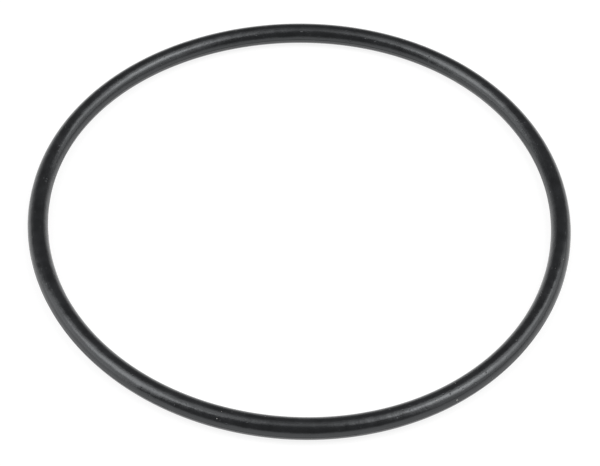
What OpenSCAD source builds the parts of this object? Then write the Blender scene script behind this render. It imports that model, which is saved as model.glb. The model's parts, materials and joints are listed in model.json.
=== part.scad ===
// A moulded rubber O-ring: one endless loop of round section, for sealing between a shaft
// or flange and its housing. The mould closes on the ring's middle plane, and leaves a thin
// trimmed band there on the inside and the outside of the loop. The ring lies in the XY
// plane, with the origin at its centre, on that parting plane.

/* [Ring] */
// Inside diameter of the ring, measured on the round section
inside_d = 88; // [20:0.5:300]
// Diameter of the round rubber section
section_d = 3.5; // [2:0.1:8]

/* [Parting line] */
// Height of the trimmed band above the round section
band_h = 0.05; // [0.03:0.01:0.12]
// Width of the trimmed band, along the ring's axis
band_w = 0.16; // [0.1:0.02:0.4]

/* [Hidden] */
rubber_black = [0.16, 0.163, 0.17];
// Radius of the circle that the middle of the section follows
centre_r = (inside_d + section_d) / 2;
$fn = 180;

// The round section, with the parting bands on its inner and outer side
module section() {
    circle(d = section_d);
    square([section_d + 2 * band_h, band_w], center = true);
}

// The whole ring: its section carried once round the axis
module o_ring() {
    color(rubber_black)
        rotate_extrude()
            translate([centre_r, 0])
                section();
}

o_ring();
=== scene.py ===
import json
import math

import bpy
from mathutils import Matrix, Vector, noise


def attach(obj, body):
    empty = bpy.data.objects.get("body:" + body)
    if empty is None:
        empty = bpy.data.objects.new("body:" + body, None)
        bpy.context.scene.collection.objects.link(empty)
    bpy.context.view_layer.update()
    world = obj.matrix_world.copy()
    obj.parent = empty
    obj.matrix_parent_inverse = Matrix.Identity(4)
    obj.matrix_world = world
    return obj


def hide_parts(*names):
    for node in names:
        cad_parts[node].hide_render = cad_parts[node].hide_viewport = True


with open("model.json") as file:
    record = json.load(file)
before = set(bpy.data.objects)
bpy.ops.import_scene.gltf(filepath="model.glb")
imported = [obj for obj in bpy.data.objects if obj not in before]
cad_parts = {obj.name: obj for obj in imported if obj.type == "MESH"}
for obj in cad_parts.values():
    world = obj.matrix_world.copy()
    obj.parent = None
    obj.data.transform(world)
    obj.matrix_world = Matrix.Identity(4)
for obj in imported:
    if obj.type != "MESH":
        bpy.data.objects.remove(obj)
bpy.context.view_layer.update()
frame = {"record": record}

MM = 0.001

# Sizes of the ring, from the frame's two seats and the trimmed band that they are measured on
BAND_HEIGHT = 0.05 * MM
BAND_WIDTH = 0.16 * MM
seat_radius = {m["name"]: m["dims"]["r_mm"] * MM for m in frame["record"]["mounts"]}
inner_r = seat_radius["inner_seat"] + BAND_HEIGHT
outer_r = seat_radius["outer_seat"] - BAND_HEIGHT
SECTION_R = (outer_r - inner_r) / 2
CENTRE_R = (outer_r + inner_r) / 2

# How the soft ring lies a little out of round, and how the width and height of its section vary
# along it: waves per turn, cosine and sine share of the radius
OUT_OF_ROUND = [
    (0, 0.0004, 0.0),
    (1, 0.0, 0.0006),
    (2, 0.0, 0.0003),
    (3, -0.0042, 0.0036),
    (4, -0.0014, -0.0005),
    (5, 0.0005, 0.0001),
]
WIDTH_WAVES = [(0, 0.0110, 0.0), (1, -0.0120, 0.0060), (2, -0.0480, -0.0010), (4, 0.0100, 0.0)]
HEIGHT_WAVES = [(1, -0.0110, 0.0), (2, -0.0180, -0.0010)]

# Fineness of the mesh: steps round the ring, and round one half of the section
RING_STEPS = 960
HALF_SECTION_STEPS = 32

# Cross-section of the trimmed band: height above the rubber at a distance from the middle plane,
# both as shares of the band's height and of half its width
BAND_PROFILE = [(-1.5, 0.0), (-1.1, 0.25), (-0.8, 1.0), (0.0, 1.0), (0.8, 1.0), (1.1, 0.25), (1.5, 0.0)]

# The trimming leaves between a half and all of the band's height: how often that changes round
# the ring, and how far the inner band's pattern is from the outer band's
TRIM_LEAST = 0.5
TRIM_FINENESS = 14
TRIM_SIDE_STEP = 5

# The rubber's relief: how fine each pattern is, per metre, and how far it lifts the surface, in mm
WAVES = (130, 0.055)
RIPPLES = (450, 0.062)
GRAIN = (3200, 0.012)
FINE_GRAIN = (9000, 0.002)
PITS = (1500, -0.035)

# A pit's floor ends and its rim begins at these shares of a cell. A cell's random number decides
# how deep its pit is: none below the first number, and the last one from the second number up
PIT_EDGES = (0.05, 0.28)
SHALLOW_PITS = (0.50, 0.65, 0.3)
DEEP_PITS = (0.72, 0.76, 0.7)

# Flow marks drawn along the ring: how often they change along it and across its section
FLOW_ALONG = 14
FLOW_ACROSS = 4.0
FLOW_HEIGHT = 0.006

# The rubber's colour, from bare to where the bloom is thickest, and its gloss
BARE_RUBBER = (0.0010, 0.0012, 0.0018, 1)
BLOOM = (0.0105, 0.0111, 0.0125, 1)
BLOOM_FINENESS = 350
BLOOM_RANGE = (0.35, 0.75)
ROUGHNESS = (0.195, 0.245)
ROUGHNESS_FROM = (0.7, 1.3)
RUBBER_IOR = 1.5
GLOSS_LEVEL = 0.785
GLOSS_TINT = (0.935, 0.966, 0.990, 1)

# Dust: its colour, how far it stands up in mm, and how much rougher it is
DUST_COLOUR = (0.42, 0.41, 0.39, 1)
DUST_HEIGHT = 0.060
DUST_ROUGHNESS = 0.4

# Specks of dust and lint: degrees round the ring, degrees round its section from the outside,
# size in mm
SPECKS = [
    (303.4, 17, 0.42),
    (254.5, 46, 0.20),
    (255.0, 89, 0.16),
    (304.9, 110, 0.12),
    (299.2, 67, 0.28),
    (273.3, -7, 0.24),
    (312.6, 11, 0.19),
    (347.6, 59, 0.20),
    (344.4, 94, 0.10),
    (173.3, 120, 0.08),
    (171.3, 157, 0.20),
]

# The camera: where it stands and what it looks at
CAMERA_ELEVATION = math.radians(48.75)
CAMERA_DISTANCE = 360.0 * MM
CAMERA_AIM = Vector((-0.03, -4.40, 0.0)) * MM
CAMERA_ROLL = math.radians(1.54)
CAMERA_LENS = 123.3
SENSOR_WIDTH = 36.0
NEAREST_SEEN = 10.0 * MM

# Soft panels: name, bearing from the back toward the right and elevation in degrees, width and
# height in metres, radiance
PANEL_DISTANCE = 1.0
PANELS = [
    ("left_core", -99, 53, (0.50, 0.58), 2.05),
    ("left_softbox", -84, 66, (0.73, 0.63), 1.10),
    ("left_wall", -97, 27, (0.91, 0.86), 1.27),
    ("right_core", 95, 61, (0.35, 0.32), 3.33),
    ("right_softbox", 85, 60, (0.88, 0.76), 1.47),
    ("right_wall_back", 76, 32, (0.68, 0.71), 1.03),
    ("right_wall_front", 114, 32, (0.68, 0.71), 0.75),
    ("ceiling", 0, 89.9, (0.36, 0.36), 0.55),
    ("back_fill", 0, 65, (0.28, 0.28), 0.27),
    ("back_card", -45, 15, (0.36, 0.36), 0.27),
]

# The room beyond the panels: pale at the horizon, and evenly dim above it
HORIZON_LIGHT = 0.75
HORIZON_FROM = -0.02
HORIZON_TO = 0.25
ROOM_LIGHT = 0.23

# The floor: how much light it scatters and gives off near the ring, and where it turns plain white
FLOOR_HALF = 3.0
FLOOR_PAPER = 0.20
FLOOR_GLOW = 0.85
FLOOR_WHITE_FROM = 0.10
FLOOR_WHITE_AT = 0.50


def varied(size, waves, angle):
    """A size as it is at an angle round the ring."""
    return size * (1 + sum(c * math.cos(n * angle) + s * math.sin(n * angle) for n, c, s in waves))


def section_at(angle):
    """Half width and half height of the section at an angle round the ring."""
    return varied(SECTION_R, WIDTH_WAVES, angle), varied(SECTION_R, HEIGHT_WAVES, angle)


def ring_point(angle, out, height):
    """Place at an angle round the ring, from its distance out and height in the section."""
    r = varied(CENTRE_R, OUT_OF_ROUND, angle) + out
    lift = section_at(angle)[1] - SECTION_R
    return Vector((r * math.cos(angle), r * math.sin(angle), height + lift))


def band_strength(angle, side):
    """How much of the band the trimming left at this place, from a half to all of it."""
    round_ring = Vector((math.cos(angle), math.sin(angle), 0)) * TRIM_FINENESS
    middle = (1 + TRIM_LEAST) / 2
    return middle + (1 - middle) * noise.noise(round_ring + Vector((0, 0, side * TRIM_SIDE_STEP)))


def section_points(angle):
    """Points round the section at one place on the ring: outward offset and height."""
    points = []
    half_width, half_height = section_at(angle)
    edge_angle = math.asin(BAND_PROFILE[-1][0] * BAND_WIDTH / 2 / half_height)
    for side in (1, -1):
        height = BAND_HEIGHT * band_strength(angle, side)
        for share, rise in BAND_PROFILE:
            z = share * BAND_WIDTH / 2
            out = half_width * math.sqrt(1 - (z / half_height) ** 2) + rise * height
            points.append((side * out, side * z))
        for step in range(1, HALF_SECTION_STEPS):
            turn = edge_angle + (math.pi - 2 * edge_angle) * step / HALF_SECTION_STEPS
            points.append((side * half_width * math.cos(turn), side * half_height * math.sin(turn)))
    return points


def ring_mesh():
    """The whole ring as one closed mesh, with a UV map: along the ring, and round the section."""
    verts = []
    for i in range(RING_STEPS):
        angle = math.tau * i / RING_STEPS
        verts += [ring_point(angle, out, height) for out, height in section_points(angle)]
    count = len(verts) // RING_STEPS
    faces = []
    uvs = []
    for i in range(RING_STEPS):
        for j in range(count):
            corners = [(i, j), (i + 1, j), (i + 1, j + 1), (i, j + 1)]
            faces.append([(a % RING_STEPS) * count + b % count for a, b in corners])
            uvs += [(a / RING_STEPS, b / count) for a, b in corners]
    mesh = bpy.data.meshes.new("ring")
    mesh.from_pydata(verts, [], faces)
    layer = mesh.uv_layers.new(name="along_and_round")
    for loop, uv in zip(layer.data, uvs):
        loop.uv = uv
    for face in mesh.polygons:
        face.use_smooth = True
    mesh.validate()
    mesh.update()
    return mesh


class Nodes:
    """Short ways to add the nodes of one tree."""

    def __init__(self, tree):
        self.nodes = tree.nodes
        self.links = tree.links

    def put(self, value, socket):
        """Sets a socket to a number or a colour, or links it to another node's output."""
        if isinstance(value, bpy.types.NodeSocket):
            self.links.new(value, socket)
        else:
            socket.default_value = value

    def math(self, operation, a, b=0.0, clamp=False):
        """A sum, product or other step on numbers."""
        node = self.nodes.new("ShaderNodeMath")
        node.operation = operation
        node.use_clamp = clamp
        self.put(a, node.inputs[0])
        self.put(b, node.inputs[1])
        return node.outputs[0]

    def vector(self, operation, a, b=(0, 0, 0), output="Vector"):
        """The same for places and directions."""
        node = self.nodes.new("ShaderNodeVectorMath")
        node.operation = operation
        self.put(a, node.inputs[0])
        self.put(b, node.inputs[1])
        return node.outputs[output]

    def clouds(self, place, scale, detail=2.0, roughness=0.5, w=None):
        """Soft noise, with a fourth coordinate where one is given."""
        node = self.nodes.new("ShaderNodeTexNoise")
        node.noise_dimensions = "3D" if w is None else "4D"
        self.put(place, node.inputs["Vector"])
        node.inputs["Scale"].default_value = scale
        node.inputs["Detail"].default_value = detail
        node.inputs["Roughness"].default_value = roughness
        if w is not None:
            self.put(w, node.inputs["W"])
        return node.outputs["Fac"]

    def remap(self, value, from_low, from_high, to_low, to_high, smooth=False):
        """A number carried from one range to another."""
        node = self.nodes.new("ShaderNodeMapRange")
        node.interpolation_type = "SMOOTHSTEP" if smooth else "LINEAR"
        self.put(value, node.inputs["Value"])
        node.inputs["From Min"].default_value = from_low
        node.inputs["From Max"].default_value = from_high
        node.inputs["To Min"].default_value = to_low
        node.inputs["To Max"].default_value = to_high
        return node.outputs["Result"]

    def colour(self, share, a, b):
        """A mix of two colours."""
        node = self.nodes.new("ShaderNodeMix")
        node.data_type = "RGBA"
        self.put(share, node.inputs["Factor"])
        self.put(a, node.inputs["A"])
        self.put(b, node.inputs["B"])
        return node.outputs["Result"]

    def bump(self, height, lift, normal=None):
        """A relief that lifts the surface by so many mm where its height is one."""
        node = self.nodes.new("ShaderNodeBump")
        node.inputs["Distance"].default_value = lift * MM
        self.put(height, node.inputs["Height"])
        if normal is not None:
            self.put(normal, node.inputs["Normal"])
        return node.outputs["Normal"]


def flow_marks(n, place):
    """Clouds stretched along the ring, in coordinates that close round it with no seam."""
    split = n.nodes.new("ShaderNodeSeparateXYZ")
    n.put(place, split.inputs[0])
    flat = n.vector("MULTIPLY", place, (1, 1, 0))
    radius = n.vector("LENGTH", flat, output="Value")
    round_ring = n.vector("NORMALIZE", flat)
    height = n.math("DIVIDE", split.outputs["Z"], SECTION_R)
    out = n.math("DIVIDE", n.math("SUBTRACT", radius, CENTRE_R), SECTION_R)
    lift = n.nodes.new("ShaderNodeCombineXYZ")
    n.put(n.math("MULTIPLY", height, FLOW_ACROSS), lift.inputs["Z"])
    along = n.vector("ADD", n.vector("MULTIPLY", round_ring, (FLOW_ALONG,) * 3), lift.outputs[0])
    return n.clouds(along, 1.0, w=n.math("MULTIPLY", out, FLOW_ACROSS))


def mould_pits(n, place):
    """How deep the surface lies in a small pit, for the share of the cells that have one."""
    cells = n.nodes.new("ShaderNodeTexVoronoi")
    n.put(place, cells.inputs["Vector"])
    cells.inputs["Scale"].default_value = PITS[0]
    pit = n.remap(cells.outputs["Distance"], *PIT_EDGES, 1, 0, smooth=True)
    depths = []
    for start, full, depth in (SHALLOW_PITS, DEEP_PITS):
        depths.append(n.remap(cells.outputs["Color"], start, full, 0, depth))
    return n.math("MULTIPLY", pit, n.math("ADD", *depths))


def specks(n, place):
    """One where a speck of dust lies, falling to zero at its edge."""
    total = None
    for ring_degrees, section_degrees, size in SPECKS:
        angle, turn = math.radians(ring_degrees), math.radians(section_degrees)
        half_width, half_height = section_at(angle)
        centre = ring_point(angle, half_width * math.cos(turn), half_height * math.sin(turn))
        far = n.vector("DISTANCE", place, centre, output="Value")
        radius = size * MM / 2
        spot = n.remap(far, radius / 2, radius, 1, 0, smooth=True)
        total = spot if total is None else n.math("MAXIMUM", total, spot)
    return total


def rubber():
    """Satin black nitrile rubber with a moulded grain, pits, flow marks, a thin bloom and dust."""
    mat = bpy.data.materials.new("black_rubber")
    mat.use_nodes = True
    n = Nodes(mat.node_tree)
    place = n.nodes.new("ShaderNodeTexCoord").outputs["Object"]
    shader = n.nodes["Principled BSDF"]

    waves = n.clouds(place, WAVES[0], detail=1.0)
    ripples = n.clouds(place, RIPPLES[0], detail=1.0)
    grain = n.clouds(place, GRAIN[0], roughness=0.6)
    fine_grain = n.clouds(place, FINE_GRAIN[0], detail=1.0)
    bloom = n.clouds(place, BLOOM_FINENESS, detail=4.0, roughness=0.6)
    flow = flow_marks(n, place)
    pits = mould_pits(n, place)
    dust = specks(n, place)

    normal = n.bump(waves, WAVES[1])
    normal = n.bump(ripples, RIPPLES[1], normal)
    normal = n.bump(flow, FLOW_HEIGHT, normal)
    normal = n.bump(grain, GRAIN[1], normal)
    normal = n.bump(fine_grain, FINE_GRAIN[1], normal)
    normal = n.bump(pits, PITS[1], normal)
    normal = n.bump(dust, DUST_HEIGHT, normal)

    tone = n.colour(n.remap(bloom, *BLOOM_RANGE, 0, 1), BARE_RUBBER, BLOOM)
    tone = n.colour(dust, tone, DUST_COLOUR)
    rough = n.remap(n.math("ADD", grain, bloom), *ROUGHNESS_FROM, *ROUGHNESS)
    rough = n.math("ADD", rough, n.math("MULTIPLY", dust, DUST_ROUGHNESS), clamp=True)

    n.put(tone, shader.inputs["Base Color"])
    n.put(rough, shader.inputs["Roughness"])
    n.put(normal, shader.inputs["Normal"])
    shader.inputs["IOR"].default_value = RUBBER_IOR
    shader.inputs["Specular IOR Level"].default_value = GLOSS_LEVEL
    shader.inputs["Specular Tint"].default_value = GLOSS_TINT
    return mat


def white_floor():
    """White paper that lights the ring, keeps its shadow, and turns plain white further out."""
    mat = bpy.data.materials.new("white_floor")
    mat.use_nodes = True
    n = Nodes(mat.node_tree)
    n.nodes.clear()
    paper = n.nodes.new("ShaderNodeBsdfDiffuse")
    paper.inputs["Color"].default_value = (FLOOR_PAPER, FLOOR_PAPER, FLOOR_PAPER, 1)
    path = n.nodes.new("ShaderNodeLightPath")
    seen = n.math("ADD", path.outputs["Is Camera Ray"], path.outputs["Is Glossy Ray"])
    seen = n.math("ADD", seen, path.outputs["Is Transmission Ray"], clamp=True)
    place = n.nodes.new("ShaderNodeTexCoord").outputs["Object"]
    far = n.vector("LENGTH", place, output="Value")
    glow = n.nodes.new("ShaderNodeEmission")
    level = n.remap(far, FLOOR_WHITE_FROM, FLOOR_WHITE_AT, FLOOR_GLOW, 1.0, smooth=True)
    n.put(n.math("MULTIPLY", level, seen), glow.inputs["Strength"])
    both = n.nodes.new("ShaderNodeAddShader")
    n.put(paper.outputs[0], both.inputs[0])
    n.put(glow.outputs[0], both.inputs[1])
    surface = n.nodes.new("ShaderNodeOutputMaterial")
    n.put(both.outputs[0], surface.inputs["Surface"])
    return mat


def add_floor():
    """A square of paper that the ring lies on."""
    mesh = bpy.data.meshes.new("floor")
    corners = [(-1, -1), (1, -1), (1, 1), (-1, 1)]
    verts = [(x * FLOOR_HALF, y * FLOOR_HALF, -SECTION_R) for x, y in corners]
    mesh.from_pydata(verts, [], [(0, 1, 2, 3)])
    floor = bpy.data.objects.new("floor", mesh)
    floor.data.materials.append(white_floor())
    bpy.context.collection.objects.link(floor)


def facing(place, target, roll=0.0):
    """Matrix of a lamp or camera at a place, looking at a target."""
    turn = (target - place).to_track_quat("-Z", "Y").to_matrix().to_4x4()
    return Matrix.Translation(place) @ turn @ Matrix.Rotation(roll, 4, "Z")


def add_panel(name, bearing, elevation, size, radiance):
    """One soft panel that faces the ring, and that the camera doesn't see."""
    lamp = bpy.data.lights.new(name, "AREA")
    lamp.shape = "RECTANGLE"
    lamp.size, lamp.size_y = size
    lamp.energy = radiance * math.pi * size[0] * size[1]
    a, e = math.radians(bearing), math.radians(elevation)
    place = Vector((math.sin(a) * math.cos(e), math.cos(a) * math.cos(e), math.sin(e))) * PANEL_DISTANCE
    obj = bpy.data.objects.new(name, lamp)
    obj.matrix_world = facing(place, Vector((0, 0, 0)))
    obj.visible_camera = False
    bpy.context.collection.objects.link(obj)


def add_world():
    """The room, paler toward the horizon."""
    world = bpy.data.worlds.new("studio")
    bpy.context.scene.world = world
    world.use_nodes = True
    n = Nodes(world.node_tree)
    split = n.nodes.new("ShaderNodeSeparateXYZ")
    n.put(n.nodes.new("ShaderNodeTexCoord").outputs["Generated"], split.inputs[0])
    horizon = n.remap(split.outputs["Z"], HORIZON_FROM, HORIZON_TO, HORIZON_LIGHT, 0, smooth=True)
    n.put(n.math("ADD", horizon, ROOM_LIGHT), n.nodes["Background"].inputs["Color"])


def add_camera():
    """The camera at the photograph's viewing angle."""
    camera = bpy.data.cameras.new("camera")
    camera.sensor_width = SENSOR_WIDTH
    camera.lens = CAMERA_LENS
    camera.clip_start = NEAREST_SEEN
    obj = bpy.data.objects.new("camera", camera)
    place = Vector((0, -math.cos(CAMERA_ELEVATION), math.sin(CAMERA_ELEVATION))) * CAMERA_DISTANCE
    obj.matrix_world = facing(place, CAMERA_AIM, CAMERA_ROLL)
    bpy.context.collection.objects.link(obj)
    bpy.context.scene.camera = obj


bpy.context.scene.view_settings.view_transform = "Standard"
add_camera()
add_world()
add_floor()
for panel in PANELS:
    add_panel(*panel)

ring = bpy.data.objects.new("rubber_ring", ring_mesh())
ring.data.materials.append(rubber())
bpy.context.collection.objects.link(ring)
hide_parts("o_ring")
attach(ring, "root")
